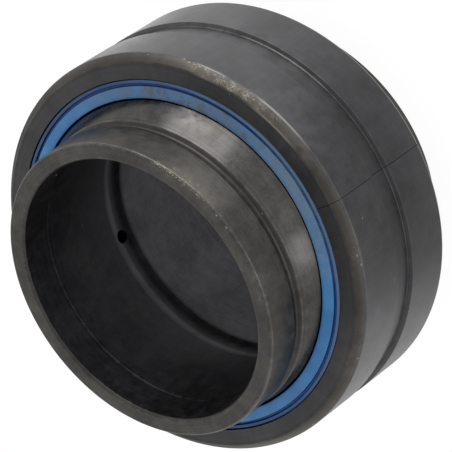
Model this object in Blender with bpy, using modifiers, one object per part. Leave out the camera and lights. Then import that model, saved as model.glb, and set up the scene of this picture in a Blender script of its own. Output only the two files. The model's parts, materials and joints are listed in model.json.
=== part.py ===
"""Radial spherical plain bearing with an extended inner ring and a lip seal at each side.

The inner ring stands on its rear end face, with its axis along +Z. The split outer ring and its two seals
are swivelled on the ball to the end of their travel, about X. The origin is the centre of the ball.
"""

import math

import bpy

# Main sizes, in metres. Each radius follows from the bore and the walls outside it.
BORE_DIAMETER = 0.080
EXTENSION_WALL = 0.0055      # bore to the outside of the extended ends: 91 mm across
BALL_RISE = 0.0070           # extended ends to the top of the ball: 105 mm across
OUTER_RING_WALL = 0.0075     # ball to the outside of the outer ring: 120 mm across
INNER_RING_WIDTH = 0.080
OUTER_RING_WIDTH = 0.045
SWIVEL_LIMIT = math.radians(6.0)

# Clearances.
BALL_CLEARANCE = 0.0003
SEAL_CLEARANCE = 0.0003
LIP_PASS_CLEARANCE = 0.0005  # seal lip to the relief beside the ball, at full swivel

# Inner ring: end chamfers, relieved bore ends, grease groove and the reliefs beside the ball.
INNER_BORE_CHAMFER = 0.0007
INNER_END_CHAMFER = 0.0005
BORE_RELIEF_DEPTH = 0.0003
BORE_RELIEF_LENGTH = 0.0105
BORE_RELIEF_RAMP = 0.0005
BORE_GROOVE_WIDTH = 0.0076
BORE_GROOVE_DEPTH = 0.0010     # at its middle: the bottom is an arc
BALL_RELIEF_FLOOR = 0.0018
BALL_RELIEF_END_FLANK = 0.0007
BALL_RELIEF_BALL_FLANK = 0.0010

# Outer ring: edge chamfers, grease grooves outside and inside, and the split.
OUTER_CHAMFER_AXIAL = 0.0025
OUTER_CHAMFER_RADIAL = 0.0021
OUTER_GROOVE_WIDTH = 0.0080
OUTER_GROOVE_DEPTH = 0.0013
OUTER_GROOVE_FLANK = 0.0005
BALL_GROOVE_WIDTH = 0.0060
BALL_GROOVE_DEPTH = 0.0008
BALL_GROOVE_FLANK = 0.0006
SPLIT_WIDTH = 0.00025
SPLIT_ANGLE = math.radians(59.0)

# Grease holes, two across from each other in each ring.
GREASE_HOLE_DIAMETER = 0.0040
INNER_HOLE_ANGLE = math.radians(229.9)
OUTER_HOLE_ANGLE = math.radians(146.0)

# Seal seat: a step in each face of the outer ring with an undercut behind it.
SEAT_STEP = 0.0002           # outside of the ball's socket to the mouth of the seat
SEAT_UNDERCUT = 0.0010
SEAT_RIM = 0.0013            # width of the rim in front of the undercut
SEAT_DEPTH = 0.0031

# Seal: outer rim, narrow groove, sloping band and two lips that follow the ball.
SEAL_RIM_WIDTH = 0.0011
SEAL_RIM_SETBACK = 0.0002
SEAL_GROOVE_WIDTH = 0.0006
SEAL_GROOVE_DEPTH = 0.0007
SEAL_EDGE_BEVEL = 0.0002
LIP_PROUD = 0.00045          # front lip stands this far outside the outer ring's face
LIP_THICKNESS = 0.0009
INNER_LIP_LIFT = 0.00045     # rear lip's tip above the back of the seal
LIP_VALLEY_DEPTH = 0.0012

# How finely the turned faces are divided.
RING_STEPS = 72
SEAL_STEPS = 60
BALL_ARC_STEPS = 14
SOCKET_ARC_STEPS = 5         # on each side of the groove round the socket
BORE_GROOVE_STEPS = 6
HOLE_STEPS = 16

# How far a cutter runs past the faces it cuts, and how close points join when a profile is turned.
CUT_OVERRUN = 0.003
JOIN_DISTANCE = 0.00001

# Radii and half widths that follow from the sizes above.
bore_radius = BORE_DIAMETER / 2
extension_radius = bore_radius + EXTENSION_WALL
ball_radius = extension_radius + BALL_RISE
outer_radius = ball_radius + OUTER_RING_WALL
socket_radius = ball_radius + BALL_CLEARANCE
inner_half_width = INNER_RING_WIDTH / 2
outer_half_width = OUTER_RING_WIDTH / 2
seat_mouth_radius = socket_radius + SEAT_STEP
seat_floor_z = outer_half_width - SEAT_DEPTH


def clear_scene():
    for obj in list(bpy.data.objects):
        bpy.data.objects.remove(obj, do_unlink=True)


def make_collection(name):
    collection = bpy.data.collections.new(name)
    bpy.context.scene.collection.children.link(collection)
    return collection


def make_material(name, color, metallic, roughness):
    material = bpy.data.materials.new(name)
    material.use_nodes = True
    shader = material.node_tree.nodes["Principled BSDF"]
    shader.inputs["Base Color"].default_value = (*color, 1.0)
    shader.inputs["Metallic"].default_value = metallic
    shader.inputs["Roughness"].default_value = roughness
    return material


def radius_on_sphere(sphere_radius, z):
    """Distance from the axis of a point on a sphere about the origin, at height z."""
    return math.sqrt(sphere_radius ** 2 - z ** 2)


def sphere_arc(sphere_radius, z_start, z_end, steps):
    """Points along a sphere's outline from one height to another, evenly spaced by angle."""
    start = math.asin(z_start / sphere_radius)
    end = math.asin(z_end / sphere_radius)
    angles = [start + (end - start) * i / steps for i in range(steps + 1)]
    return [(sphere_radius * math.cos(a), sphere_radius * math.sin(a)) for a in angles]


def groove(radius, floor_radius, width, flank):
    """A flat-bottomed groove round the middle of a turned face, read from top to bottom."""
    half = width / 2
    return [(radius, half), (floor_radius, half - flank), (floor_radius, flank - half), (radius, -half)]


def round_groove(radius, width, depth, steps):
    """A groove with a round bottom round the middle of a bore, read from top to bottom."""
    half = width / 2
    arc_radius = (half ** 2 + depth ** 2) / (2 * depth)
    arc_centre = radius + depth - arc_radius
    heights = [half - width * i / steps for i in range(steps + 1)]
    return [(arc_centre + radius_on_sphere(arc_radius, z), z) for z in heights]


def mirrored(points):
    """The same outline below the middle plane, read in the other direction."""
    return [(r, -z) for r, z in reversed(points)]


def revolve(name, outline, steps, material, collection):
    """Turn a closed outline of (radius, height) points round the Z axis."""
    mesh = bpy.data.meshes.new(name)
    count = len(outline)
    mesh.from_pydata([(r, 0.0, z) for r, z in outline], [(i, (i + 1) % count) for i in range(count)], [])
    mesh.materials.append(material)
    obj = bpy.data.objects.new(name, mesh)
    collection.objects.link(obj)
    screw = obj.modifiers.new("turn", "SCREW")
    screw.axis = "Z"
    screw.angle = math.tau
    screw.steps = steps
    screw.render_steps = steps
    screw.use_merge_vertices = True
    screw.merge_threshold = JOIN_DISTANCE
    screw.use_smooth_shade = True
    return obj


def weight_normals(obj):
    """Keep the flat faces flat under smooth shading."""
    modifier = obj.modifiers.new("normals", "WEIGHTED_NORMAL")
    modifier.weight = 100


def cut(obj, cutter):
    boolean = obj.modifiers.new("cut " + cutter.name, "BOOLEAN")
    boolean.operation = "DIFFERENCE"
    boolean.solver = "EXACT"
    boolean.object = cutter


def hide_cutter(cutter, name, parent, collection):
    for owner in list(cutter.users_collection):
        owner.objects.unlink(cutter)
    collection.objects.link(cutter)
    cutter.name = name
    cutter.parent = parent
    cutter.hide_render = True
    cutter.display_type = "WIRE"


def grease_hole_cutter(name, angle, start_radius, end_radius, parent, collection):
    """A rod that points away from the axis and spans one ring's wall."""
    middle = (start_radius + end_radius) / 2
    bpy.ops.mesh.primitive_cylinder_add(
        vertices=HOLE_STEPS,
        radius=GREASE_HOLE_DIAMETER / 2,
        depth=end_radius - start_radius,
        location=(middle * math.cos(angle), middle * math.sin(angle), 0.0),
        rotation=(0.0, math.pi / 2, angle),
    )
    cutter = bpy.context.object
    hide_cutter(cutter, name, parent, collection)
    return cutter


def split_cutter(name, angle, parent, collection):
    """A thin blade through the whole wall of the outer ring on one side."""
    inner_edge = radius_on_sphere(socket_radius, seat_floor_z) - CUT_OVERRUN
    outer_edge = outer_radius + CUT_OVERRUN
    middle = (inner_edge + outer_edge) / 2
    bpy.ops.mesh.primitive_cube_add(
        size=1.0,
        location=(middle * math.cos(angle), middle * math.sin(angle), 0.0),
        rotation=(0.0, 0.0, angle),
    )
    cutter = bpy.context.object
    cutter.scale = (outer_edge - inner_edge, SPLIT_WIDTH, OUTER_RING_WIDTH + 2 * CUT_OVERRUN)
    hide_cutter(cutter, name, parent, collection)
    return cutter


def front_lip_tip():
    """Tip of the front seal's outer lip, a clearance off the ball and just proud of the ring's face."""
    z = outer_half_width + LIP_PROUD
    return radius_on_sphere(ball_radius + SEAL_CLEARANCE, z), z


def lip_at_full_swivel():
    """Where the lip's tip stands beside the ball when the rings are swivelled to the limit."""
    r, z = front_lip_tip()
    reach = math.hypot(r, z)
    angle = math.atan2(r, z) - SWIVEL_LIMIT
    return reach * math.sin(angle), reach * math.cos(angle)


def ball_relief():
    """Turned relief between an extended end and the ball, which takes the lip at full swivel."""
    lip_radius, lip_z = lip_at_full_swivel()
    floor_radius = lip_radius - LIP_PASS_CLEARANCE
    floor_top = lip_z + BALL_RELIEF_FLOOR / 2
    floor_bottom = lip_z - BALL_RELIEF_FLOOR / 2
    return [
        (extension_radius, floor_top + BALL_RELIEF_END_FLANK),
        (floor_radius, floor_top),
        (floor_radius, floor_bottom),
    ]


def inner_ring_outline():
    relief = ball_relief()
    ball_edge_z = relief[-1][1] - BALL_RELIEF_BALL_FLANK
    top_end = [
        (extension_radius - INNER_END_CHAMFER, inner_half_width),
        (extension_radius, inner_half_width - INNER_END_CHAMFER),
    ]
    ball = sphere_arc(ball_radius, ball_edge_z, -ball_edge_z, BALL_ARC_STEPS)
    outside = top_end + relief + ball + mirrored(relief) + mirrored(top_end)
    relieved_radius = bore_radius + BORE_RELIEF_DEPTH
    relief_end_z = inner_half_width - BORE_RELIEF_LENGTH
    bore_top = [
        (relieved_radius + INNER_BORE_CHAMFER, inner_half_width),
        (relieved_radius, inner_half_width - INNER_BORE_CHAMFER),
        (relieved_radius, relief_end_z),
        (bore_radius, relief_end_z - BORE_RELIEF_RAMP),
    ]
    middle = round_groove(bore_radius, BORE_GROOVE_WIDTH, BORE_GROOVE_DEPTH, BORE_GROOVE_STEPS)
    bore = bore_top + middle + mirrored(bore_top)
    return outside + list(reversed(bore))


def seal_seat():
    """Step and undercut in the upper face of the outer ring, from the face down to the socket."""
    mouth = seat_mouth_radius
    undercut = mouth + SEAT_UNDERCUT
    rim_z = outer_half_width - SEAT_RIM
    return [(mouth, outer_half_width), (mouth, rim_z), (undercut, rim_z), (undercut, seat_floor_z)]


def outer_ring_outline():
    top_edge = [
        (outer_radius - OUTER_CHAMFER_RADIAL, outer_half_width),
        (outer_radius, outer_half_width - OUTER_CHAMFER_AXIAL),
    ]
    middle = groove(outer_radius, outer_radius - OUTER_GROOVE_DEPTH, OUTER_GROOVE_WIDTH, OUTER_GROOVE_FLANK)
    outside = top_edge + middle + mirrored(top_edge)
    upper_socket = sphere_arc(socket_radius, seat_floor_z, BALL_GROOVE_WIDTH / 2, SOCKET_ARC_STEPS)
    groove_mouth = upper_socket[-1][0]
    floor = groove(groove_mouth, socket_radius + BALL_GROOVE_DEPTH, BALL_GROOVE_WIDTH, BALL_GROOVE_FLANK)
    socket = seal_seat() + upper_socket[:-1] + floor + mirrored(upper_socket[:-1]) + mirrored(seal_seat())
    return outside + list(reversed(socket))


def front_seal_outline():
    tip_radius, tip_z = front_lip_tip()
    lip_sphere = ball_radius + SEAL_CLEARANCE
    rim_radius = seat_mouth_radius - SEAL_CLEARANCE
    heel_radius = seat_mouth_radius + SEAT_UNDERCUT - SEAL_CLEARANCE
    heel_top = outer_half_width - SEAT_RIM - SEAL_CLEARANCE
    back_z = seat_floor_z + SEAL_CLEARANCE
    rim_z = outer_half_width - SEAL_RIM_SETBACK
    groove_outer = rim_radius - SEAL_RIM_WIDTH
    groove_inner = groove_outer - SEAL_GROOVE_WIDTH
    groove_z = rim_z - SEAL_GROOVE_DEPTH
    inner_lip_z = back_z + INNER_LIP_LIFT
    valley_z = (tip_z + inner_lip_z) / 2
    front = [
        (tip_radius + SEAL_EDGE_BEVEL, tip_z + SEAL_EDGE_BEVEL / 2),
        (tip_radius + LIP_THICKNESS, tip_z + SEAL_EDGE_BEVEL / 2),
        (groove_inner, rim_z + SEAL_EDGE_BEVEL / 2),
        (groove_inner, groove_z),
        (groove_outer, groove_z),
        (groove_outer, rim_z),
        (rim_radius - SEAL_EDGE_BEVEL, rim_z),
        (rim_radius, rim_z - SEAL_EDGE_BEVEL),
    ]
    heel = [
        (rim_radius, heel_top),
        (heel_radius - SEAL_EDGE_BEVEL, heel_top),
        (heel_radius, heel_top - SEAL_EDGE_BEVEL),
        (heel_radius, back_z),
    ]
    lips = [
        (radius_on_sphere(lip_sphere, inner_lip_z) + LIP_THICKNESS, back_z),
        (radius_on_sphere(lip_sphere, inner_lip_z), inner_lip_z),
        (radius_on_sphere(lip_sphere, valley_z) + LIP_VALLEY_DEPTH, valley_z),
        (tip_radius, tip_z),
    ]
    return front + heel + lips


def make_inner_ring(material, collection, cutters):
    ring = revolve("inner_ring", inner_ring_outline(), RING_STEPS, material, collection)
    for number, angle in enumerate((INNER_HOLE_ANGLE, INNER_HOLE_ANGLE + math.pi), start=1):
        name = f"inner_grease_hole_{number}"
        start = bore_radius - CUT_OVERRUN
        end = ball_radius + CUT_OVERRUN
        cut(ring, grease_hole_cutter(name, angle, start, end, None, cutters))
    weight_normals(ring)
    return ring


def make_outer_ring(material, swivel, collection, cutters):
    ring = revolve("outer_ring", outer_ring_outline(), RING_STEPS, material, collection)
    ring.parent = swivel
    for number, angle in enumerate((OUTER_HOLE_ANGLE, OUTER_HOLE_ANGLE + math.pi), start=1):
        name = f"outer_grease_hole_{number}"
        start = socket_radius - CUT_OVERRUN
        end = outer_radius + CUT_OVERRUN
        cut(ring, grease_hole_cutter(name, angle, start, end, swivel, cutters))
    cut(ring, split_cutter("split_blade", SPLIT_ANGLE, swivel, cutters))
    weight_normals(ring)
    return ring


def make_seal(name, outline, material, swivel, collection):
    seal = revolve(name, outline, SEAL_STEPS, material, collection)
    seal.parent = swivel
    weight_normals(seal)
    return seal


def main():
    clear_scene()
    parts = make_collection("pivot_bearing")
    cutters = make_collection("cutters")
    inner_steel = make_material("inner_ring_steel", (0.060, 0.060, 0.060), 0.85, 0.42)
    outer_steel = make_material("outer_ring_steel", (0.065, 0.063, 0.060), 0.85, 0.48)
    front_blue = make_material("front_seal_blue", (0.055, 0.21, 0.50), 0.0, 0.45)
    rear_blue = make_material("rear_seal_blue", (0.055, 0.21, 0.50), 0.0, 0.45)

    # Everything that swivels on the ball hangs from one empty at its centre.
    swivel = bpy.data.objects.new("swivel_centre", None)
    swivel.rotation_euler = (-SWIVEL_LIMIT, 0.0, 0.0)
    parts.objects.link(swivel)

    make_inner_ring(inner_steel, parts, cutters)
    make_outer_ring(outer_steel, swivel, parts, cutters)
    make_seal("front_seal", front_seal_outline(), front_blue, swivel, parts)
    make_seal("rear_seal", mirrored(front_seal_outline()), rear_blue, swivel, parts)


main()
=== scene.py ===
# Finished look of a pivot bearing: two turned steel rings, two moulded seals, their finishes, the light and the view.
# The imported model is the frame, with the centre of the ball at the origin and +Z out of the bore.
# Lengths are in metres, except in the tables of nicks, edges, zones and places, which are in millimetres.
# Angles in the dictionaries and tables are in degrees.

import json
import math
import random

import bmesh
import bpy
import numpy as np
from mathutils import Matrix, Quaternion, Vector


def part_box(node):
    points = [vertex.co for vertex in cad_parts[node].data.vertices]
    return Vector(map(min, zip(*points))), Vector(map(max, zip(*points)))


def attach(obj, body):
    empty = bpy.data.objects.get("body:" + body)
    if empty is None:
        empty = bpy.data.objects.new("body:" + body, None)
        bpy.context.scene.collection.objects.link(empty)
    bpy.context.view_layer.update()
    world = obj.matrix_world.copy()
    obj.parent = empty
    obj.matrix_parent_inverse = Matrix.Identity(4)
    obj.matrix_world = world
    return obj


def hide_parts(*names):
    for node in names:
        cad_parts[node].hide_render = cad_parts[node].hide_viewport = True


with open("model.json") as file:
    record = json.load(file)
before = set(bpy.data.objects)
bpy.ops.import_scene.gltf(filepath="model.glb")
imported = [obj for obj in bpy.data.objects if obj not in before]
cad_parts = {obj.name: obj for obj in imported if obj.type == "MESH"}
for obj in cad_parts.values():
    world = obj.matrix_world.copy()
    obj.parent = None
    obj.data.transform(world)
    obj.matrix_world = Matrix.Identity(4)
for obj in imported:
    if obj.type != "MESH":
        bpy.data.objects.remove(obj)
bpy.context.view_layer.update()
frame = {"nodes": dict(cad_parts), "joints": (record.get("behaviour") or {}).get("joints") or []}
mm = 0.001
samePlace = 0.001 * mm  # points nearer than this are one point
overshoot = 3 * mm  # how far a drill or a blade reaches past what it cuts

swivelJoint = frame["joints"][0]
swivelTilt = -math.radians(swivelJoint["range_deg"][1] / 2)  # outer ring and seals, turned about X
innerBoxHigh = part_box("inner_ring")[1]
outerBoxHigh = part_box("outer_ring")[1]
print("frame loaded:", len(frame["nodes"]), "nodes")


def ringPlace(angle, radius, height=0.0):
    turn = math.radians(angle)
    return Vector((radius * math.cos(turn), radius * math.sin(turn), height))


def skyDirection(azimuth, elevation):
    rise = math.radians(elevation)
    return ringPlace(azimuth, math.cos(rise), math.sin(rise))


def pointOnBall(ballRadius, height):
    return math.sqrt(ballRadius ** 2 - height ** 2)


def ballArc(ballRadius, topHeight, bottomHeight, steps):
    top = math.asin(topHeight / ballRadius)
    bottom = math.asin(bottomHeight / ballRadius)
    angles = [top + (bottom - top) * step / steps for step in range(steps + 1)]
    return [(ballRadius * math.cos(angle), ballRadius * math.sin(angle), 0.0) for angle in angles]


def hollowArc(wallRadius, halfWidth, depth, steps):
    # cross-section of a groove with a round bottom, cut outwards into a bore, from top to bottom
    arcRadius = (halfWidth ** 2 + depth ** 2) / (2 * depth)
    centre = wallRadius + depth - arcRadius
    heights = [halfWidth - 2 * halfWidth * step / steps for step in range(steps + 1)]
    return [(centre + math.sqrt(arcRadius ** 2 - height ** 2), height, 0.0) for height in heights]


def upsideDown(corners):
    return [(radius, -height, rounding) for radius, height, rounding in reversed(corners)]


def deselectAll():
    bpy.ops.object.select_all(action="DESELECT")


def selectOnly(piece):
    deselectAll()
    piece.select_set(True)
    bpy.context.view_layer.objects.active = piece


def bakePlace():
    bpy.ops.object.transform_apply(location=True, rotation=True, scale=True)


def applyModifier(kind, **settings):
    # finishes the active piece with one modifier
    bpy.ops.object.modifier_add(type=kind)
    modifier = bpy.context.object.modifiers[-1]
    for setting, value in settings.items():
        setattr(modifier, setting, value)
    bpy.ops.object.modifier_apply(modifier=modifier.name)


def cutAway(piece, cutter):
    selectOnly(piece)
    applyModifier("BOOLEAN", operation="DIFFERENCE", solver="EXACT", object=cutter)
    bpy.data.objects.remove(cutter, do_unlink=True)


def pickCorners(piece, corners):
    # selects the points of an outline in edit mode that stand at these corners
    bpy.ops.mesh.select_all(action="DESELECT")
    shape = bmesh.from_edit_mesh(piece.data)
    for point in shape.verts:
        gaps = [math.hypot(point.co.x - radius, point.co.z - height) for radius, height, rounding in corners]
        point.select_set(min(gaps) < samePlace)
    shape.select_flush_mode()
    bmesh.update_edit_mesh(piece.data)


def drawOutline(name, corners):
    # one point is extruded from corner to corner, then the loop is closed
    deselectAll()
    bpy.ops.mesh.primitive_plane_add(size=mm)
    piece = bpy.context.object
    piece.name = name
    bpy.ops.object.mode_set(mode="EDIT")
    bpy.ops.mesh.select_mode(type="VERT")
    bpy.ops.mesh.merge(type="CENTER")
    place = Vector((0.0, 0.0, 0.0))
    for number, (radius, height, rounding) in enumerate(corners):
        step = Vector((radius, 0.0, height)) - place
        place += step
        if number == 0:
            bpy.ops.transform.translate(value=step)
        else:
            bpy.ops.mesh.extrude_vertices_move(TRANSFORM_OT_translate={"value": step})
    pickCorners(piece, [corners[0], corners[-1]])
    bpy.ops.mesh.edge_face_add()
    return piece


def roundCorners(piece, corners, segments=4):
    for rounding in sorted({corner[2] for corner in corners if corner[2] > 0.0}):
        pickCorners(piece, [corner for corner in corners if corner[2] == rounding])
        bpy.ops.mesh.bevel(offset=rounding, offset_type="OFFSET", segments=segments, affect="VERTICES")


def turnPiece(name, corners, steps):
    # a turned piece: its outline with rounded corners, spun once round the axis
    piece = drawOutline(name, corners)
    roundCorners(piece, corners)
    bpy.ops.mesh.select_all(action="SELECT")
    bpy.ops.mesh.spin(steps=steps // 8, angle=math.tau / 8, center=(0.0, 0.0, 0.0), axis=(0.0, 0.0, 1.0))
    for part in (8, 4, 2):  # an eighth is spun, then copied round three times, which is much quicker
        bpy.ops.mesh.select_all(action="SELECT")
        bpy.ops.mesh.duplicate()
        bpy.ops.transform.rotate(value=math.tau / part, orient_axis="Z", center_override=(0.0, 0.0, 0.0))
    bpy.ops.mesh.select_all(action="SELECT")
    bpy.ops.mesh.remove_doubles(threshold=samePlace)
    bpy.ops.mesh.normals_make_consistent(inside=False)
    bpy.ops.object.mode_set(mode="OBJECT")
    return piece


def drillHoles(piece, s, wallRadius, surfaceRadius):
    # straight out through a wall
    start, end = wallRadius - overshoot, surfaceRadius + overshoot
    for angle in s["holeAngles"]:
        deselectAll()
        bpy.ops.mesh.primitive_cylinder_add(
            vertices=48,
            radius=s["holeDiameter"] / 2,
            depth=end - start,
            location=ringPlace(angle, (start + end) / 2),
            rotation=(0.0, math.pi / 2, math.radians(angle)),
        )
        cutAway(piece, bpy.context.object)


# Nicks: rough little stones are set into a piece and cut away.
nick = {
    "roughness": 0.2,  # as part of the stone's radius
    "lean": 0.6,  # in radians
    "scale": ((0.5, 0.9), (0.9, 1.7), (0.4, 0.8)),  # into the piece, round it and up it
    "bareReach": 1.5,
}


def nickPiece(piece, nicks, seed):
    # a nick has an angle, a radius, a height and a size; the face attribute marks the bare metal in them
    deselectAll()
    chance = random.Random(seed)
    centres, stones = [], []
    for index, (angle, *lengths) in enumerate(nicks):
        radius, height, size = (length * mm for length in lengths)
        centres.append((ringPlace(angle, radius, height), size))
        bpy.ops.mesh.primitive_ico_sphere_add(subdivisions=2, radius=size)
        bpy.ops.object.mode_set(mode="EDIT")
        bpy.ops.mesh.select_all(action="SELECT")
        bpy.ops.transform.vertex_random(offset=nick["roughness"] * size, seed=seed + index)
        bpy.ops.object.mode_set(mode="OBJECT")
        stone = bpy.context.object
        stone.location = centres[-1][0]
        leans = [chance.uniform(-nick["lean"], nick["lean"]) for axis in "XY"]
        stone.rotation_euler = (*leans, math.radians(angle))
        stone.scale = [chance.uniform(*span) for span in nick["scale"]]
        bakePlace()
        stones.append(stone)
    for cutters in (stones[::2], stones[1::2]):  # neighbours overlap, so they are cut in two goes
        deselectAll()
        for stone in cutters:
            stone.select_set(True)
        bpy.context.view_layer.objects.active = cutters[0]
        bpy.ops.object.join()
        cutAway(piece, cutters[0])
    points = np.empty(len(piece.data.vertices) * 3)
    piece.data.vertices.foreach_get("co", points)
    points = points.reshape(-1, 3)
    inNick = np.zeros(len(points), dtype=int)
    for number, (centre, size) in enumerate(centres, 1):
        inNick[np.linalg.norm(points - np.array(centre), axis=1) < nick["bareReach"] * size] = number
    bare = piece.data.attributes.new("bare", "FLOAT", "FACE")
    amounts = []
    for face in piece.data.polygons:
        touched = {inNick[index] for index in face.vertices}
        amounts.append(float(len(touched) == 1 and touched != {0}))
    bare.data.foreach_set("value", amounts)


def scatterNicks(s):
    # nicks round the rest of an edge, more of them at the back
    chance = random.Random(s["seed"])
    found = []
    for step in range(s["count"]):
        side = chance.choice((1.0, -1.0, -1.0))
        angle = s["start"] + s["stride"] * step + chance.uniform(-s["spread"], s["spread"])
        found.append((angle, s["radius"], side * s["height"], chance.uniform(*s["sizes"])))
    return found


def smoothFaces(piece, limit=32):
    selectOnly(piece)
    bpy.ops.object.shade_smooth_by_angle(angle=math.radians(limit))
    applyModifier("WEIGHTED_NORMAL", keep_sharp=True)


def tiltPiece(piece):
    # the swivelled pieces are modelled upright, then turned about X
    selectOnly(piece)
    piece.rotation_euler.x = swivelTilt
    bakePlace()


# Inner ring: end faces, extended ends, reliefs beside the ball, the ball, and the bore with its grease groove.
innerRing = {
    "ballRadius": innerBoxHigh.x,
    "halfWidth": innerBoxHigh.z,
    "endRadius": 45.5 * mm,
    "endChamfer": 0.5 * mm,
    "chamferRounding": 0.2 * mm,
    "reliefRadius": 44.392 * mm,
    "reliefHeights": (29.395 * mm, 28.695 * mm, 26.895 * mm, 25.895 * mm),
    "reliefRoundings": (0.1 * mm, 0.35 * mm, 0.45 * mm, 0.12 * mm),
    "ballSteps": 64,
    "boreRadius": 40.0 * mm,
    "wideBoreRadius": 40.3 * mm,
    "wideBoreEnd": (29.75 * mm, 28.95 * mm),
    "wideBoreRounding": 0.35 * mm,
    "boreChamfer": 0.7 * mm,
    "grooveHalfWidth": 3.8 * mm,
    "grooveDepth": 1.0 * mm,
    "grooveSteps": 16,
    "holeAngles": (229.9, 49.9),
    "holeDiameter": 4.0 * mm,
    "steps": 360,
    "nickSeed": 11,
    "edgePlace": (45.12, 39.98),
    "edgeWander": (0.16, -0.14),
    "wanderRate": 7.0,
    "edgeNicks": [  # angle and size, along the knocked stretch of the front edge
        (106.6, 0.34), (105.3, 0.3), (104.3, 0.42), (103.1, 0.36), (101.4, 0.5), (100.1, 0.28), (98.9, 0.42),
        (97.5, 0.3), (96.0, 0.34), (94.2, 0.5), (92.2, 0.36), (90.9, 0.28), (89.4, 0.46), (87.9, 0.3),
        (86.6, 0.4), (85.2, 0.28), (83.6, 0.34), (76.8, 0.38), (74.9, 0.26), (71.5, 0.36),
    ],
    "otherNicks": [
        (172.2, 40.2, 31.9, 0.34),
        (214.2, 39.85, 15.0, 0.3),
        (67.7, 45.15, 26.5, 0.3),
    ],
    "scatter": {
        "seed": 5,
        "count": 9,
        "start": 125.0,
        "stride": 30.0,
        "spread": 10.0,
        "radius": 45.3,
        "height": 39.98,
        "sizes": (0.25, 0.42),
    },
}


def innerNicks():
    s = innerRing
    found = []
    for angle, size in s["edgeNicks"]:
        wave = math.sin(s["wanderRate"] * angle)
        radius, height = (place + wander * wave for place, wander in zip(s["edgePlace"], s["edgeWander"]))
        found.append((angle, radius, height, size))
    return found + s["otherNicks"] + scatterNicks(s["scatter"])


def makeInnerRing():
    s = innerRing
    endFlank, floorTop, floorBottom, ballEdge = s["reliefHeights"]
    flankRounding, topRounding, bottomRounding, ballRounding = s["reliefRoundings"]
    top = [
        (s["endRadius"] - s["endChamfer"], s["halfWidth"], s["chamferRounding"]),
        (s["endRadius"], s["halfWidth"] - s["endChamfer"], s["chamferRounding"]),
        (s["endRadius"], endFlank, flankRounding),
        (s["reliefRadius"], floorTop, topRounding),
        (s["reliefRadius"], floorBottom, bottomRounding),
    ]
    ball = ballArc(s["ballRadius"], ballEdge, -ballEdge, s["ballSteps"])
    for end in (0, -1):
        ball[end] = (*ball[end][:2], ballRounding)
    boreTop = [
        (s["wideBoreRadius"] + s["boreChamfer"], s["halfWidth"], s["chamferRounding"]),
        (s["wideBoreRadius"], s["halfWidth"] - s["boreChamfer"], s["chamferRounding"]),
        (s["wideBoreRadius"], s["wideBoreEnd"][0], s["wideBoreRounding"]),
        (s["boreRadius"], s["wideBoreEnd"][1], s["wideBoreRounding"]),
    ]
    groove = hollowArc(s["boreRadius"], s["grooveHalfWidth"], s["grooveDepth"], s["grooveSteps"])
    bore = boreTop + groove + upsideDown(boreTop)
    outside = top + ball + upsideDown(top)
    piece = turnPiece("innerRing", outside + list(reversed(bore)), s["steps"])
    drillHoles(piece, s, s["boreRadius"], s["ballRadius"])
    nickPiece(piece, innerNicks(), s["nickSeed"])
    smoothFaces(piece)
    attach(piece, "inner_side")
    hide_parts("inner_ring")
    return piece


# Outer ring: side faces with the seal seats, edge chamfers, the groove outside, the socket and the split.
outerRing = {
    "outerRadius": outerBoxHigh.x,
    "halfWidth": 22.5 * mm,
    "chamferAxial": 2.5 * mm,
    "chamferRadial": 2.1 * mm,
    "chamferRoundings": (0.5 * mm, 0.3 * mm),
    "grooveHalfWidth": 4.0 * mm,
    "grooveDepth": 1.3 * mm,
    "grooveFlank": 0.5 * mm,
    "grooveRoundings": (0.1 * mm, 0.4 * mm),
    "socketRadius": 52.8 * mm,
    "socketSteps": 16,
    "socketGrooveHalfWidth": 3.0 * mm,
    "socketGrooveDepth": 0.8 * mm,
    "socketGrooveFlank": 0.6 * mm,
    "socketGrooveRounding": 0.2 * mm,
    "seatRadius": 53.0 * mm,
    "seatRim": 1.3 * mm,
    "seatUndercut": 1.0 * mm,
    "seatDepth": 3.1 * mm,
    "seatRoundings": (0.1 * mm, 0.15 * mm),
    "holeAngles": (146.0, 326.0),
    "holeDiameter": 4.0 * mm,
    "steps": 360,
    "splitAngle": 59.0,
    "splitWidth": 0.15 * mm,
    "splitReach": 8 * mm,  # inwards from the socket
    "splitCuts": 22,
    "splitWander": 0.03 * mm,
    "splitSeed": 5,
    "nickSeed": 57,
    "nicks": [  # a knocked stretch where the edge chamfer meets the outside, and a few elsewhere
        (116.9, 60.05, 19.9, 0.45),
        (115.1, 59.8, 20.3, 0.5),
        (113.2, 59.8, 20.4, 0.45),
        (111.6, 59.7, 20.5, 0.42),
        (109.6, 59.7, 20.6, 0.55),
        (106.4, 59.55, 20.8, 0.5),
        (103.3, 59.4, 21.0, 0.6),
        (100.5, 59.25, 21.2, 0.5),
        (98.4, 59.5, 20.9, 0.4),
        (96.6, 59.2, 21.2, 0.5),
        (93.8, 59.4, 21.0, 0.45),
        (45.9, 59.25, 21.2, 0.4),
        (43.4, 59.5, 20.8, 0.36),
        (40.7, 59.9, 20.4, 0.42),
        (34.3, 60.12, 6.5, 0.26),
        (30.3, 60.12, 5.7, 0.24),
        (51.5, 60.12, 14.6, 0.28),
        (54.0, 60.12, -16.0, 0.26),
        (137.8, 58.1, 22.6, 0.36),
        (100.0, 57.2, 22.7, 0.34),
    ],
    "scatter": {
        "seed": 8,
        "count": 11,
        "start": 130.0,
        "stride": 24.0,
        "spread": 8.0,
        "radius": 59.7,
        "height": 20.55,
        "sizes": (0.35, 0.5),
    },
}


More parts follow.
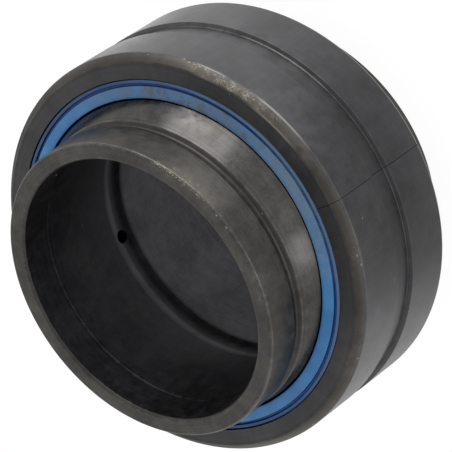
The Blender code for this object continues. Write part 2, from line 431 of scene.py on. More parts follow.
def makeSplitBlade():
    # a thin sheet across one side of the ring, roughened a little, because the ring is broken there and not sawn
    s = outerRing
    inner, outer = s["socketRadius"] - s["splitReach"], s["outerRadius"] + overshoot
    deselectAll()
    bpy.ops.mesh.primitive_plane_add(size=1.0, rotation=(math.pi / 2, 0.0, 0.0))
    blade = bpy.context.object
    blade.scale = (outer - inner, 2 * (s["halfWidth"] + overshoot), 1.0)
    blade.location.x = (inner + outer) / 2
    bakePlace()
    bpy.ops.object.mode_set(mode="EDIT")
    bpy.ops.mesh.select_all(action="SELECT")
    bpy.ops.mesh.subdivide(number_cuts=s["splitCuts"])
    bpy.ops.transform.vertex_random(offset=s["splitWander"], uniform=0.0, normal=1.0, seed=s["splitSeed"])
    bpy.ops.mesh.vertices_smooth(factor=0.5, repeat=1)
    bpy.ops.object.mode_set(mode="OBJECT")
    applyModifier("SOLIDIFY", thickness=s["splitWidth"], offset=0.0)
    blade.rotation_euler.z = math.radians(s["splitAngle"])
    bakePlace()
    return blade


def makeOuterRing():
    s = outerRing
    grooveFloor = s["outerRadius"] - s["grooveDepth"]
    seatFloor = s["halfWidth"] - s["seatDepth"]
    undercutRadius = s["seatRadius"] + s["seatUndercut"]
    undercutTop = s["halfWidth"] - s["seatRim"]
    top = [
        (s["outerRadius"] - s["chamferRadial"], s["halfWidth"], s["chamferRoundings"][0]),
        (s["outerRadius"], s["halfWidth"] - s["chamferAxial"], s["chamferRoundings"][1]),
        (s["outerRadius"], s["grooveHalfWidth"], s["grooveRoundings"][0]),
        (grooveFloor, s["grooveHalfWidth"] - s["grooveFlank"], s["grooveRoundings"][1]),
    ]
    seat = [
        (s["seatRadius"], s["halfWidth"], s["seatRoundings"][0]),
        (s["seatRadius"], undercutTop, 0.0),
        (undercutRadius, undercutTop, 0.0),
        (undercutRadius, seatFloor, s["seatRoundings"][1]),
    ]
    socket = ballArc(s["socketRadius"], seatFloor, s["socketGrooveHalfWidth"], s["socketSteps"])
    socketGroove = (
        s["socketRadius"] + s["socketGrooveDepth"],
        s["socketGrooveHalfWidth"] - s["socketGrooveFlank"],
        s["socketGrooveRounding"],
    )
    inside = seat + socket + [socketGroove]
    inside = inside + upsideDown(inside)
    outside = top + upsideDown(top)
    piece = turnPiece("outerRing", outside + list(reversed(inside)), s["steps"])
    drillHoles(piece, s, s["socketRadius"], s["outerRadius"])
    nickPiece(piece, s["nicks"] + scatterNicks(s["scatter"]), s["nickSeed"])
    cutAway(piece, makeSplitBlade())
    smoothFaces(piece)
    tiltPiece(piece)
    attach(piece, "outer_side")
    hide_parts("outer_ring")
    return piece


# Seals: a rim in the seat's mouth, a narrow groove, a sloping band and two lips that follow the ball.
seal = {
    "lipRadius": 52.8 * mm,
    "tipHeight": 22.95 * mm,
    "tipWidth": 0.15 * mm,
    "tipRoundings": (0.05 * mm, 0.08 * mm, 0.3 * mm),
    "lipThickness": 0.9 * mm,
    "bandOuter": 50.95 * mm,
    "bandRise": 0.1 * mm,
    "grooveOuter": 51.7 * mm,
    "grooveDepth": 0.7 * mm,
    "grooveRounding": 0.2 * mm,
    "rimRadius": 52.7 * mm,
    "rimHeight": 22.3 * mm,
    "rimRounding": 0.25 * mm,
    "heelRadius": 53.7 * mm,
    "heelTop": 20.9 * mm,
    "heelRounding": 0.15 * mm,
    "backHeight": 19.7 * mm,
    "innerLipHeight": 20.15 * mm,
    "innerLipRounding": 0.1 * mm,
    "valleyDepth": 1.2 * mm,
    "valleyRounding": 0.4 * mm,
    "steps": 320,
}


def makeSeal(name, node, isFront):
    s = seal
    tip = pointOnBall(s["lipRadius"], s["tipHeight"])
    innerLip = pointOnBall(s["lipRadius"], s["innerLipHeight"])
    valleyHeight = (s["tipHeight"] + s["innerLipHeight"]) / 2
    valley = pointOnBall(s["lipRadius"], valleyHeight) + s["valleyDepth"]
    grooveFloor = s["rimHeight"] - s["grooveDepth"]
    corners = [
        (tip + s["tipWidth"], s["tipHeight"] + s["tipWidth"], s["tipRoundings"][1]),
        (tip + s["lipThickness"], s["tipHeight"] + s["bandRise"], s["tipRoundings"][2]),
        (s["bandOuter"], s["rimHeight"] + s["bandRise"], s["grooveRounding"]),
        (s["bandOuter"], grooveFloor, s["grooveRounding"]),
        (s["grooveOuter"], grooveFloor, s["grooveRounding"]),
        (s["grooveOuter"], s["rimHeight"], s["grooveRounding"]),
        (s["rimRadius"], s["rimHeight"], s["rimRounding"]),
        (s["rimRadius"], s["heelTop"], 0.0),
        (s["heelRadius"], s["heelTop"], s["heelRounding"]),
        (s["heelRadius"], s["backHeight"], s["heelRounding"]),
        (innerLip + s["lipThickness"], s["backHeight"], s["innerLipRounding"]),
        (innerLip, s["innerLipHeight"], s["innerLipRounding"]),
        (valley, valleyHeight, s["valleyRounding"]),
        (tip, s["tipHeight"], s["tipRoundings"][0]),
    ]
    if not isFront:
        corners = upsideDown(corners)
    piece = turnPiece(name, corners, s["steps"])
    smoothFaces(piece)
    tiltPiece(piece)
    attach(piece, "seals")
    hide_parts(node)
    return piece


def plug(tree, value, socket):
    # a socket is linked, and a number, a place or a colour is set
    if isinstance(value, bpy.types.NodeSocket):
        tree.links.new(value, socket)
    elif socket.type == "RGBA":
        socket.default_value = (*value, 1.0)
    else:
        socket.default_value = value


def addNode(tree, kind, inputs=None, **settings):
    made = tree.nodes.new(kind)
    for setting, value in settings.items():
        setattr(made, setting, value)
    for name, value in (inputs or {}).items():
        plug(tree, value, made.inputs[name])
    return made


def calculate(tree, operation, first, second=0.0, third=0.0):
    made = addNode(tree, "ShaderNodeMath", operation=operation)
    for value, socket in zip((first, second, third), made.inputs):
        plug(tree, value, socket)
    return made.outputs["Value"]


def multiply(tree, first, *others):
    for value in others:
        first = calculate(tree, "MULTIPLY", first, value)
    return first


def measure(tree, operation, *vectors):
    # a length, distance or dot product
    made = addNode(tree, "ShaderNodeVectorMath", dict(enumerate(vectors)), operation=operation)
    return made.outputs["Value"]


def combine(tree, x=0.0, y=0.0, z=0.0):
    return addNode(tree, "ShaderNodeCombineXYZ", {"X": x, "Y": y, "Z": z}).outputs["Vector"]


def aroundAxis(tree, place):
    # the height, the place on the level, and the distance and direction from the axis
    parts = addNode(tree, "ShaderNodeSeparateXYZ", {"Vector": place}).outputs
    level = combine(tree, parts["X"], parts["Y"])
    outward = addNode(tree, "ShaderNodeVectorMath", {0: level}, operation="NORMALIZE").outputs["Vector"]
    return parts["Z"], level, measure(tree, "LENGTH", level), outward


def fade(tree, value, start, end, low=0.0, high=1.0):
    # goes smoothly from low to high while the value goes from start to end
    made = addNode(
        tree,
        "ShaderNodeMapRange",
        {"Value": value, "From Min": start, "From Max": end, "To Min": low, "To Max": high},
        interpolation_type="SMOOTHSTEP",
    )
    return made.outputs["Result"]


def mixColors(tree, factor, first, second, blend="MIX"):
    made = addNode(tree, "ShaderNodeMix", data_type="RGBA", blend_type=blend)
    for value, socket in ((factor, made.inputs[0]), (first, made.inputs[6]), (second, made.inputs[7])):
        plug(tree, value, socket)
    return made.outputs[2]


def makeGrey(tree, amount):
    return addNode(tree, "ShaderNodeCombineColor", {"Red": amount, "Green": amount, "Blue": amount}).outputs["Color"]


def shadeColor(tree, color, amount):
    # darkens or lightens a colour by a number
    return mixColors(tree, 1.0, color, makeGrey(tree, amount), "MULTIPLY")


def speckle(tree, place, size, detail=3.0, roughness=0.6, flat=False):
    # noise whose largest patches are about as wide as the size says
    made = addNode(
        tree,
        "ShaderNodeTexNoise",
        {"Vector": place, "Scale": 1.0 / size, "Detail": detail, "Roughness": roughness},
        noise_dimensions="2D" if flat else "3D",
    )
    return made.outputs["Fac"]


# The levels of the noise between which each pattern goes from nothing to its full strength.
noiseSpans = {
    "whole": (0.3, 0.7),
    "clouds": (0.35, 0.65),
    "stains": (0.52, 0.68),
    "rubbing": (0.45, 0.62),
    "smearsAndHighlights": (0.36, 0.58),
    "scratches": (0.40, 0.68),
    "scratchPatches": (0.32, 0.58),
    "grease": (0.16, 0.58),
    "smudges": (0.50, 0.62),
    "spots": (0.70, 0.76),
    "dust": (0.35, 0.6),
    "grain": (0.2, 0.8),
}


def patches(tree, noise, pattern, low=0.0, high=1.0):
    return fade(tree, noise, *noiseSpans[pattern], low, high)


def unevenness(tree, noise, contrast):
    # a number round 1 that follows the noise
    return patches(tree, noise, "whole", 1.0 - contrast, 1.0 + contrast)


def startFinish(name, tilt):
    # a new material, with the places on a turned piece that its patterns are made from
    material = bpy.data.materials.new(name)
    material.use_nodes = True
    tree = material.node_tree
    source = addNode(tree, "ShaderNodeTexCoord").outputs["Object"]
    turned = addNode(tree, "ShaderNodeMapping", {"Vector": source, "Rotation": (-tilt, 0.0, 0.0)}).outputs["Vector"]
    height, level, radius, outward = aroundAxis(tree, turned)
    return material, tree, {
        "place": turned,
        "radius": radius,
        "height": height,
        "above": calculate(tree, "ABSOLUTE", height),  # distance from the middle plane
        "outward": outward,
        "profile": combine(tree, radius, height),
    }


def zoneMask(tree, at, zone):
    # 1 on one surface of a turned piece, between two radii and two heights, or two distances from the middle plane
    soft = zone.get("soft", 0.04) * mm
    inside = 1.0
    for name in ("radius", "height" if "height" in zone else "above"):
        low, high = (length * mm for length in zone[name])
        fromLow = fade(tree, at[name], low - soft, low + soft)
        fromHigh = fade(tree, at[name], high + soft, high - soft)
        inside = multiply(tree, inside, fromLow, fromHigh)
    return inside


def tintColor(tree, inside, color, tint):
    return mixColors(tree, inside, color, mixColors(tree, 1.0, color, tint, "MULTIPLY"))


def edgeMask(tree, at, edges, width):
    # 1 on the turned edges, and 0 further away from them than the width
    here = combine(tree, at["radius"], at["above"])
    nearest = 1.0
    for radius, height in edges:
        gap = measure(tree, "DISTANCE", here, (radius * mm, height * mm, 0.0))
        nearest = calculate(tree, "MINIMUM", nearest, gap)
    return fade(tree, nearest, width / 3, width, 1.0, 0.0)


def axialPlace(tree, at, stretch):
    # a place that changes quickly round the piece and slowly along it
    around = addNode(tree, "ShaderNodeVectorMath", {0: at["outward"], "Scale": outerBoxHigh.x}, operation="SCALE")
    along = combine(tree, z=calculate(tree, "DIVIDE", at["height"], stretch))
    both = addNode(tree, "ShaderNodeVectorMath", {0: around.outputs["Vector"], 1: along}, operation="ADD")
    return both.outputs["Vector"]


def nearPlaces(tree, at, places, fullPart=0.35):
    # a place has an angle, a radius, a height, a reach and an amount, which is full in the inner part of the reach
    found = 0.0
    for angle, radius, height, reach, amount in places:
        gap = measure(tree, "DISTANCE", at["place"], ringPlace(angle, radius * mm, height * mm))
        edge = reach * mm
        found = calculate(tree, "MAXIMUM", found, fade(tree, gap, fullPart * edge, edge, amount, 0.0))
    return found


def facingSide(tree, at, angle):
    # 1 on the side of the piece at the angle, and -1 on the opposite side
    return measure(tree, "DOT_PRODUCT", at["outward"], ringPlace(angle, 1.0))


def connectSurface(tree, color, rough, relief):
    bump = addNode(tree, "ShaderNodeBump", {"Height": relief, "Strength": 1.0, "Distance": 1.0})
    shader = tree.nodes["Principled BSDF"]
    plug(tree, color, shader.inputs["Base Color"])
    plug(tree, rough, shader.inputs["Roughness"])
    plug(tree, bump.outputs["Normal"], shader.inputs["Normal"])
    return shader


def scuffMask(tree, at, s):
    # thin bright scratches in a few places
    turn = (0.0, 0.0, math.radians(s["scuffTurn"]))
    streaks = addNode(
        tree,
        "ShaderNodeMapping",
        {"Vector": at["place"], "Rotation": turn, "Scale": s["scuffStretch"]},
    ).outputs["Vector"]
    scratches = patches(tree, speckle(tree, streaks, s["scuffSize"], 2.0, 0.55), "scratches")
    broken = patches(tree, speckle(tree, at["place"], s["scuffPatchSize"], 2.0), "scratchPatches")
    return multiply(tree, nearPlaces(tree, at, s["scuffs"]), multiply(tree, broken, scratches))


def makeSteel(name, s, tilt):
    # dark phosphated steel: clouds, stains and crystals in the colour, turned lines and axial marks, rubbed edges with
    # painted highlights along them, smears with painted highlights, and zone tints, among them painted shade and
    # painted light
    material, tree, at = startFinish(name, tilt)
    place = at["place"]
    clouds = speckle(tree, place, s["cloudSize"], 4.0)
    blotches = speckle(tree, place, s["blotchSize"], 4.0, 0.65)
    crystals = speckle(tree, place, s["crystalSize"], 3.0, 0.65)
    lines = speckle(tree, at["profile"], s["lineSize"], 3.0, 0.65, flat=True)
    marks = speckle(tree, axialPlace(tree, at, s["markStretch"]), s["markSize"], 3.0)

    color = mixColors(tree, patches(tree, clouds, "clouds"), s["darkColor"], s["lightColor"])
    stains = patches(tree, speckle(tree, place, s["stainSize"], 5.0, 0.7), "stains", 0.0, s["stain"])
    color = mixColors(tree, stains, color, s["stainColor"])
    amount = multiply(
        tree,
        unevenness(tree, blotches, s["blotchContrast"]),
        unevenness(tree, crystals, s["crystalContrast"]),
        unevenness(tree, lines, s["lineContrast"]),
        unevenness(tree, marks, s["markContrast"]),
    )
    color = shadeColor(tree, color, amount)
    fine = patches(tree, crystals, "whole", *s["crystalRoughness"])
    rough = calculate(tree, "ADD", patches(tree, blotches, "whole", *s["roughness"]), fine)
    for zone in s["zones"].values():
        inside = zoneMask(tree, at, zone)
        color = tintColor(tree, inside, color, zone["tint"])
        rough = calculate(tree, "MULTIPLY_ADD", inside, zone.get("rougher", 0.0), rough)

    rubbingAndHighlight = patches(tree, speckle(tree, place, s["rubSize"], 5.0, 0.7), "rubbing", *s["rub"])
    # painted highlights: bright lines along the edges, where rounded edges catch the light, are added to the real
    # rubbing
    rubbingAndHighlight = calculate(tree, "MAXIMUM", rubbingAndHighlight, nearPlaces(tree, at, s["wearAndHighlightPlaces"]))
    wearAndHighlight = multiply(tree, edgeMask(tree, at, s["edges"], s["edgeWidth"]), rubbingAndHighlight)
    color = mixColors(tree, scuffMask(tree, at, s), color, s["scuffColor"])
    # smears, some of them painted highlights: a highlight on the ball, and lighter patches where the outer ring catches
    # the light
    smearsAndHighlights = patches(tree, speckle(tree, place, s["smearAndHighlightSize"], 4.0, 0.6), "smearsAndHighlights")
    smearsAndHighlights = multiply(tree, smearsAndHighlights, nearPlaces(tree, at, s["smearsAndHighlights"]))
    color = mixColors(tree, smearsAndHighlights, color, s["smearAndHighlightColor"])
    rough = calculate(tree, "MULTIPLY_ADD", smearsAndHighlights, s["smearAndHighlightRougher"], rough)
    bare = addNode(tree, "ShaderNodeAttribute", attribute_name="bare").outputs["Fac"]
    color = mixColors(tree, calculate(tree, "MAXIMUM", wearAndHighlight, bare), color, s["bareMetalAndHighlightColor"])
    rough = calculate(tree, "MULTIPLY_ADD", wearAndHighlight, s["wearAndHighlightRougher"], rough)

    relief = calculate(
        tree, "ADD", multiply(tree, lines, s["lineDepth"]), multiply(tree, crystals, s["crystalDepth"])
    )
    relief = calculate(tree, "ADD", relief, multiply(tree, blotches, s["blotchDepth"]))
    connectSurface(tree, color, rough, relief).inputs["Metallic"].default_value = 1.0
    return material


bothSteels = {
    "crystalSize": 0.45 * mm,
    "blotchDepth": 0.0060 * mm,
    "crystalRoughness": (-0.04, 0.04),
    "scuffPatchSize": 3 * mm,
    "scuffStretch": (1.0, 0.16, 1.0),
    "smearAndHighlightSize": 4.5 * mm,
    "smearAndHighlightRougher": 0.08,
    "wearAndHighlightRougher": -0.08,
}
innerSteel = {
    **bothSteels,
    "darkColor": (0.078, 0.077, 0.076),
    "lightColor": (0.108, 0.105, 0.100),
    "stainColor": (0.094, 0.086, 0.074),
    "bareMetalAndHighlightColor": (0.28, 0.26, 0.225),
    "cloudSize": 14 * mm,
    "blotchSize": 3 * mm,
    "blotchContrast": 0.15,
    "stainSize": 9 * mm,
    "stain": 0.6,
    "crystalContrast": 0.10,
    "lineSize": 0.5 * mm,
    "lineContrast": 0.10,
    "markSize": 0.8 * mm,
    "markStretch": 12.0,
    "markContrast": 0.03,
    "roughness": (0.36, 0.46),
    "lineDepth": 0.0030 * mm,
    "crystalDepth": 0.0020 * mm,
    "zones": {
        "ball": {"radius": (45.4, 53.0), "above": (0.0, 25.95), "tint": (0.79, 0.78, 0.785), "rougher": -0.18},
        "extension": {"radius": (45.3, 45.6), "above": (29.5, 39.4), "tint": (0.9, 0.88, 0.85)},
        # painted shade: the reliefs beside the ball are darkened
        "relief": {"radius": (44.0, 45.45), "above": (25.95, 29.45), "tint": (0.62, 0.61, 0.60), "rougher": 0.02},
        # painted reflection: the bore is tinted bluish and a little darker
        "bore": {"radius": (39.0, 41.3), "above": (0.0, 39.3), "tint": (0.9, 0.91, 1.02)},
        "boreChamfer": {
            "radius": (39.0, 40.98), "above": (39.3, 39.97), "tint": (0.72, 0.71, 0.68), "rougher": 0.04,
        },
        # painted light: the front side of the grease groove and the deep end of the bore are lightened where they catch
        # light
        "boreGroove": {"radius": (40.05, 41.3), "height": (0.6, 3.7), "soft": 0.4, "tint": (1.8, 1.8, 1.8)},
        "deepBore": {"radius": (39.0, 41.3), "height": (-39.0, -4.4), "soft": 0.6, "tint": (1.75, 1.75, 1.75)},
        "endFace": {"radius": (40.5, 45.6), "above": (39.95, 41.0), "tint": (1.0, 0.99, 0.96), "rougher": 0.04},
    },
    "edges": [(45.0, 40.0), (45.5, 39.5), (41.0, 40.0), (45.5, 29.4), (45.66, 25.9)],
    "edgeWidth": 0.4 * mm,
    "rubSize": 6 * mm,
    "rub": (0.03, 0.16),
    # painted highlight along the front edge, with some real rubbing there too
    "wearAndHighlightPlaces": [
        (98.0, 45.3, 39.7, 9.0, 0.15),
        (88.0, 45.3, 39.7, 9.0, 0.15),
    ],
    "scuffColor": (0.26, 0.24, 0.19),
    "scuffSize": 0.5 * mm,
    "scuffTurn": -90.0,
    "scuffs": [
        (104.0, 45.3, 39.7, 2.4, 0.6),
        (98.0, 45.4, 39.4, 3.0, 0.7),
        (92.5, 45.5, 39.2, 3.6, 0.65),
        (87.0, 45.5, 39.1, 3.6, 0.65),
        (81.5, 45.5, 39.3, 3.0, 0.45),
        (76.0, 45.2, 39.8, 2.2, 0.4),
        (50.0, 45.3, 39.7, 3.0, 0.35),
        (43.0, 45.3, 39.7, 3.0, 0.35),
        (230.0, 45.3, -39.7, 5.0, 0.5),
    ],
    "smearAndHighlightColor": (0.132, 0.126, 0.117),
    # the first two are smears on the extension; the last two are a painted highlight on the ball
    "smearsAndHighlights": [
        (84.0, 45.5, 35.0, 8.0, 0.6),
        (92.0, 45.5, 36.0, 6.0, 0.5),
        (110.5, 48.9, 19.0, 6.5, 1.0),
        (104.5, 48.5, 20.2, 5.0, 0.7),
    ],
}
outerSteel = {
    **bothSteels,
    "darkColor": (0.088, 0.088, 0.092),
    "lightColor": (0.106, 0.105, 0.110),
    "stainColor": (0.090, 0.088, 0.088),
    "bareMetalAndHighlightColor": (0.29, 0.27, 0.24),
    "cloudSize": 18 * mm,
    "blotchSize": 4 * mm,
    "blotchContrast": 0.07,
    "stainSize": 12 * mm,
    "stain": 0.5,
    "crystalContrast": 0.07,
    "lineSize": 0.6 * mm,
    "lineContrast": 0.04,
    "markSize": 2.5 * mm,
    "markStretch": 6.0,
    "markContrast": 0.04,
    "roughness": (0.38, 0.44),
    "lineDepth": 0.0012 * mm,
    "crystalDepth": 0.0035 * mm,
    "zones": {
        "sideFace": {"radius": (52.5, 58.2), "above": (22.45, 23.0), "tint": (0.93, 0.93, 0.93), "rougher": 0.06},
        "edgeChamfer": {"radius": (57.9, 60.0), "above": (20.0, 22.45), "tint": (0.88, 0.85, 0.77)},
        "chamferInside": {
            "radius": (57.0, 59.0), "above": (20.0, 22.48), "soft": 0.6, "tint": (0.72, 0.67, 0.60), "rougher": 0.02,
        },
        "groove": {"radius": (58.0, 59.93), "above": (0.0, 4.0), "tint": (0.96, 0.96, 0.96)},
        # painted shade in the groove's corners, and a painted lighter band on its walls
        "grooveCorner": {
            "radius": (58.6, 59.1), "above": (3.0, 3.8), "soft": 0.1, "tint": (0.68, 0.68, 0.68), "rougher": 0.1,
        },
        "grooveWall": {"radius": (59.15, 59.95), "above": (3.4, 4.1), "tint": (1.12, 1.12, 1.12)},
    },
    "edges": [(57.9, 22.5), (60.0, 20.0), (58.75, 3.5), (53.0, 22.5)],
    "edgeWidth": 0.5 * mm,
    "rubSize": 8 * mm,
    "rub": (0.0, 0.08),
    # painted highlights: bright lines on the front edge, the groove's corner and the back edge, where the rounded edges
    # catch the light
    "wearAndHighlightPlaces": [
        (108.5, 60.0, 20.0, 6.5, 0.5),
        (85.0, 60.0, 20.0, 12.0, 0.7),
        (108.0, 58.8, -3.5, 7.0, 0.2),
        (100.0, 58.8, -3.5, 8.0, 0.3),
        (91.0, 58.8, -3.5, 8.0, 0.25),
        (104.0, 60.0, -20.0, 15.0, 0.8),
        (90.0, 60.0, -20.0, 15.0, 0.8),
        (76.0, 60.0, -20.0, 15.0, 0.8),
        (62.0, 60.0, -20.0, 15.0, 0.8),
        (48.0, 60.0, -20.0, 15.0, 0.8),
    ],
    "scuffColor": (0.20, 0.186, 0.160),
    "scuffSize": 0.45 * mm,
    "scuffTurn": -55.0,
    "scuffs": [
        (113.5, 59.3, 21.0, 2.4, 0.4),
        (109.0, 59.2, 21.2, 2.6, 0.5),
        (104.5, 59.1, 21.3, 2.8, 0.75),
        (100.5, 59.1, 21.3, 2.8, 0.75),
        (96.0, 59.1, 21.3, 2.8, 0.7),
        (91.0, 59.2, 21.2, 2.6, 0.6),
        (86.0, 59.2, 21.2, 2.6, 0.5),
        (43.0, 59.7, 20.6, 2.6, 0.5),
        (250.0, 59.5, -20.8, 6.0, 0.5),
    ],
    "smearAndHighlightColor": (0.155, 0.154, 0.158),
    # lighter patches on the outside, the chamfer and the groove, partly real smears and partly painted highlights
    "smearsAndHighlights": [
        (21.0, 60.0, 15.0, 8.0, 0.35),
        (10.0, 60.0, 9.0, 9.0, 0.4),
        (356.0, 60.0, 12.0, 10.0, 0.5),
        (128.0, 60.0, 8.0, 14.0, 0.3),
        (77.0, 59.0, 21.3, 9.0, 0.3),
        (98.0, 59.0, -3.0, 7.0, 0.3),
        (108.0, 59.0, -3.0, 8.0, 0.4),
        (120.0, 59.0, -3.0, 9.0, 0.45),
        (133.0, 59.0, -3.0, 9.0, 0.45),
        (14.0, 59.0, 21.3, 12.0, 0.25),
    ],
}


def makeRubber(name, s, tilt):
    # smooth blue rubber with grey grease and smudges on its band, thickest on one side, and dust on another, with
    # painted shade on the rim and in the groove
    material, tree, at = startFinish(name, tilt)
    place = at["place"]
    clouds = speckle(tree, place, s["cloudSize"], 3.0)
    grain = speckle(tree, place, s["grainSize"], 3.0)
    lines = speckle(tree, at["profile"], s["lineSize"], 2.0, flat=True)
    blots = speckle(tree, place, s["smudgeSize"], 4.0, 0.6)
    color = mixColors(tree, patches(tree, clouds, "clouds"), s["darkColor"], s["lightColor"])

    onBand = zoneMask(tree, at, s["band"])
    side = facingSide(tree, at, s["greaseAngle"])
    film = patches(tree, speckle(tree, place, s["greaseSize"], 5.0, 0.55), "grease")
    film = multiply(tree, film, fade(tree, side, *s["greaseSide"], *s["grease"]))
    color = mixColors(tree, multiply(tree, onBand, film), color, s["greaseColor"])
    smudges = multiply(tree, patches(tree, blots, "smudges"), fade(tree, side, *s["smudgeSide"], 0.0, s["smudge"]))
    color = mixColors(tree, multiply(tree, onBand, smudges), color, s["smudgeColor"])
    spots = patches(tree, speckle(tree, place, s["spotSize"], 2.0), "spots", 0.0, s["spot"])
    color = mixColors(tree, spots, color, s["spotColor"])
    for zone in s["zones"].values():
        color = tintColor(tree, zoneMask(tree, at, zone), color, zone["tint"])

    side = facingSide(tree, at, s["dustAngle"])
    onRim = zoneMask(tree, at, s["zones"]["rim"])
    rimDust = multiply(tree, onRim, fade(tree, side, *s["rimDustSide"], 0.0, s["dust"]))
    bandDust = multiply(tree, onBand, fade(tree, side, *s["bandDustSide"], 0.0, s["dust"]))
    bandDust = multiply(tree, bandDust, patches(tree, blots, "dust", 0.5, 1.0))
    color = mixColors(tree, calculate(tree, "ADD", rimDust, bandDust), color, s["dustColor"])
    color = shadeColor(tree, color, unevenness(tree, grain, s["grainContrast"]))

    rough = patches(tree, grain, "grain", *s["roughness"])
    rough = calculate(tree, "MULTIPLY_ADD", film, s["filmRougher"], rough)
    relief = calculate(tree, "ADD", multiply(tree, lines, s["lineDepth"]), multiply(tree, grain, s["grainDepth"]))
    connectSurface(tree, color, rough, relief)
    return material


blueRubber = {
    "darkColor": (0.018, 0.135, 0.350),
    "lightColor": (0.032, 0.180, 0.420),
    "greaseColor": (0.062, 0.104, 0.165),
    "smudgeColor": (0.060, 0.062, 0.070),
    "spotColor": (0.02, 0.05, 0.08),
    "dustColor": (0.115, 0.19, 0.28),
    "cloudSize": 12 * mm,
    "grainSize": 0.5 * mm,
    "grainContrast": 0.07,
    "lineSize": 0.4 * mm,
    "greaseAngle": 100.0,
    "greaseSide": (0.30, 0.92),
    "greaseSize": 4.5 * mm,
    "grease": (0.05, 0.9),
    "smudgeSide": (0.5, 0.95),
    "smudgeSize": 3.0 * mm,
    "smudge": 0.65,
    "dustAngle": 60.0,
    "rimDustSide": (0.1, 0.95),
    "bandDustSide": (0.86, 0.995),
    "dust": 0.55,
    "band": {"radius": (47.0, 51.1), "above": (15.0, 24.0), "soft": 0.15},
    "zones": {
        # painted shade: the rim in the seat's mouth and the narrow groove are darkened
        "rim": {"radius": (51.55, 53.2), "above": (15.0, 23.0), "tint": (0.6, 0.42, 0.48)},
        "groove": {"radius": (50.86, 51.78), "above": (15.0, 23.0), "tint": (0.08, 0.28, 0.5)},
    },
    "spotSize": 2.2 * mm,
    "spot": 0.6,
    "roughness": (0.36, 0.48),
    "filmRougher": 0.15,
    "lineDepth": 0.004 * mm,
    "grainDepth": 0.004 * mm,
}

innerPiece = makeInnerRing()
print("inner ring:", len(innerPiece.data.polygons), "faces")
outerPiece = makeOuterRing()
print("outer ring:", len(outerPiece.data.polygons), "faces")
sealPieces = [makeSeal("frontSeal", "front_seal", True), makeSeal("rearSeal", "rear_seal", False)]
print("seals:", len(sealPieces[0].data.polygons), "faces each")


def coverPiece(piece, material):
    piece.data.materials.clear()
    piece.data.materials.append(material)


coverPiece(innerPiece, makeSteel("innerSteel", innerSteel, 0.0))
coverPiece(outerPiece, makeSteel("outerSteel", outerSteel, swivelTilt))
blueFinish = makeRubber("blueRubber", blueRubber, swivelTilt)
for piece in sealPieces:
    coverPiece(piece, blueFinish)
print("finishes made")

# Floor, sky and soft boxes. A strength of 1 shows as white.
studio = {
    "floorSize": 6.0,
    "floorGap": 0.1 * mm,
    "floorColor": (0.8, 0.8, 0.8),
    "cameraGlow": 0.94,
    "cameraPart": (0.1, 0.1, 0.1),
    "mirrorGlow": 0.7,
    "mirrorPart": 0.35,
    "dimUnder": (40 * mm, 47 * mm, 0.32),  # the mirrored glow under the object
    "dimAhead": {
        "azimuth": 55.0,
        "span": (0.45, 1.0),
        "reach": (112 * mm, 135 * mm),
        "level": 0.13,
        "close": 0.1,  # how much of the dimming is left close by
    },
    "dimBehind": {
        "azimuth": 240.0,
        "span": (0.5, 0.85),
        "reach": (250 * mm, 450 * mm),
        "level": 0.15,
        "close": 1.0,
    },
    "closeReach": (60 * mm, 77 * mm),
    "litBehind": (88 * mm, 70 * mm),
    "brighter": [
        {"azimuth": 98.0, "distance": 147 * mm, "reach": (24 * mm, 57 * mm), "amount": 2.1},
        {"azimuth": 180.0, "distance": 78 * mm, "reach": (8 * mm, 34 * mm), "amount": 0.8},
        {"azimuth": 138.0, "distance": 68 * mm, "reach": (8 * mm, 32 * mm), "amount": 0.25},
    ],
    "skyForLight": 1.0,
    "skyOverhead": 0.55,
    "skySpan": (0.3, 0.85),
    "bigLight": {"azimuth": 125.0, "elevation": 10.0, "distance": 0.45, "size": (0.34, 0.26), "radiance": 2.5},
    "smallLight": {"azimuth": 34.0, "elevation": 5.0, "distance": 1.0, "size": (0.3, 0.2), "radiance": 2.4},
}


def dimSide(tree, radius, outward, side):
    # darker towards one side, up to a distance
    along = measure(tree, "DOT_PRODUCT", outward, ringPlace(side["azimuth"], 1.0))
    near = multiply(
        tree,
        fade(tree, radius, side["reach"][1], side["reach"][0]),
        fade(tree, radius, *studio["closeReach"], side["close"], 1.0),
    )
    dark = multiply(tree, fade(tree, along, *side["span"], 0.0, 1.0 - side["level"]), near)
    return calculate(tree, "SUBTRACT", 1.0, dark)


def mixShaders(tree, factor, first, second):
    return addNode(tree, "ShaderNodeMixShader", {0: factor, 1: first, 2: second}).outputs["Shader"]


def glowing(tree, strength, part):
    # a surface that shines by itself and reflects a part of the light
    glow = addNode(tree, "ShaderNodeEmission", {"Color": (1.0, 1.0, 1.0), "Strength": strength})
    lit = addNode(tree, "ShaderNodeBsdfDiffuse", {"Color": part})
    return addNode(tree, "ShaderNodeAddShader", {0: glow.outputs["Emission"], 1: lit.outputs["BSDF"]}).outputs["Shader"]


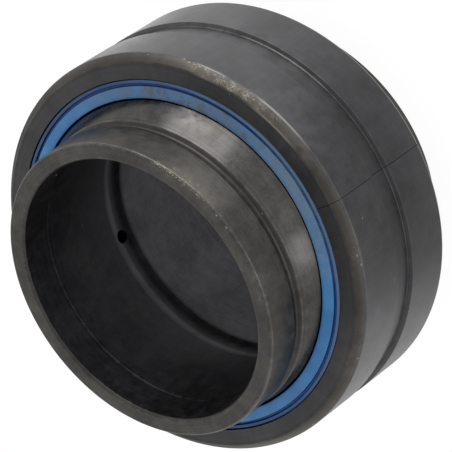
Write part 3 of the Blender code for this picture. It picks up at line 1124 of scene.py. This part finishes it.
def makeFloor():
    s = studio
    deselectAll()
    floorHeight = -innerBoxHigh.z - s["floorGap"]
    bpy.ops.mesh.primitive_plane_add(size=s["floorSize"], location=(0.0, 0.0, floorHeight))
    floor = bpy.context.object
    floor.name = "floor"
    paint = bpy.data.materials.new("floorPaint")
    paint.use_nodes = True
    tree = paint.node_tree
    tree.nodes.remove(tree.nodes["Principled BSDF"])
    path = addNode(tree, "ShaderNodeLightPath")
    inMirror = calculate(tree, "MAXIMUM", path.outputs["Is Glossy Ray"], path.outputs["Is Transmission Ray"])
    position = addNode(tree, "ShaderNodeNewGeometry").outputs["Position"]
    height, level, radius, outward = aroundAxis(tree, position)

    behind = dimSide(tree, radius, outward, s["dimBehind"])
    behind = calculate(tree, "MAXIMUM", behind, fade(tree, radius, *s["litBehind"]))
    startUnder, endUnder, underLevel = s["dimUnder"]
    glow = multiply(
        tree,
        behind,
        fade(tree, radius, startUnder, endUnder, underLevel, 1.0),
        dimSide(tree, radius, outward, s["dimAhead"]),
    )
    for pool in s["brighter"]:
        gap = measure(tree, "DISTANCE", level, ringPlace(pool["azimuth"], pool["distance"]))
        glow = calculate(tree, "ADD", glow, fade(tree, gap, *pool["reach"], pool["amount"], 0.0))
    mirrorGlow = multiply(tree, glow, s["mirrorGlow"])
    mirrorPart = makeGrey(tree, multiply(tree, behind, s["mirrorPart"]))

    plain = addNode(tree, "ShaderNodeBsdfDiffuse", {"Color": s["floorColor"]}).outputs["BSDF"]
    seen = glowing(tree, s["cameraGlow"], s["cameraPart"])
    shown = mixShaders(tree, path.outputs["Is Camera Ray"], plain, seen)
    shown = mixShaders(tree, inMirror, shown, glowing(tree, mirrorGlow, mirrorPart))
    tree.links.new(shown, tree.nodes["Material Output"].inputs["Surface"])
    floor.data.materials.append(paint)


def makeWorld():
    s = studio
    world = bpy.data.worlds.new("studio")
    bpy.context.scene.world = world
    world.use_nodes = True
    tree = world.node_tree
    path = addNode(tree, "ShaderNodeLightPath")
    seen = calculate(tree, "MAXIMUM", path.outputs["Is Camera Ray"], path.outputs["Is Glossy Ray"])
    seen = calculate(tree, "MAXIMUM", seen, path.outputs["Is Transmission Ray"])
    direction = addNode(tree, "ShaderNodeTexCoord").outputs["Generated"]
    upward = addNode(tree, "ShaderNodeSeparateXYZ", {"Vector": direction}).outputs["Z"]
    shown = fade(tree, upward, *s["skySpan"], 1.0, s["skyOverhead"])
    strength = addNode(tree, "ShaderNodeMix", {0: seen, 2: s["skyForLight"], 3: shown}).outputs[0]
    background = tree.nodes["Background"]
    background.inputs["Color"].default_value = (1.0, 1.0, 1.0, 1.0)
    plug(tree, strength, background.inputs["Strength"])


def makeLight(name, s):
    outward = skyDirection(s["azimuth"], s["elevation"])
    data = bpy.data.lights.new(name, "AREA")
    data.shape = "RECTANGLE"
    data.size, data.size_y = s["size"]
    data.energy = s["radiance"] * math.pi * s["size"][0] * s["size"][1]
    light = bpy.data.objects.new(name, data)
    bpy.context.scene.collection.objects.link(light)
    light.location = outward * s["distance"]
    light.rotation_euler = outward.to_track_quat("Z", "Y").to_euler()
    light.visible_camera = False


makeFloor()
makeWorld()
makeLight("bigSoftBox", studio["bigLight"])
makeLight("smallSoftBox", studio["smallLight"])
print("floor, sky and lights made")

view = {
    "aim": Vector((0.43, 0.28, -0.45)) * mm,
    "azimuth": 72.30,
    "elevation": 41.97,
    "distance": 1045.0 * mm,
    "roll": -127.36,
    "focalLength": 294.2,
    "sensorWidth": 36.0,
}


def makeCamera():
    s = view
    backwards = skyDirection(s["azimuth"], s["elevation"])
    roll = Quaternion((0.0, 0.0, 1.0), math.radians(s["roll"]))
    data = bpy.data.cameras.new("camera")
    data.lens = s["focalLength"]
    data.sensor_width = s["sensorWidth"]
    camera = bpy.data.objects.new("camera", data)
    bpy.context.scene.collection.objects.link(camera)
    camera.location = s["aim"] + backwards * s["distance"]
    camera.rotation_mode = "QUATERNION"
    camera.rotation_quaternion = (-backwards).to_track_quat("-Z", "Y") @ roll
    bpy.context.scene.camera = camera


makeCamera()
bpy.context.scene.view_settings.view_transform = "Standard"
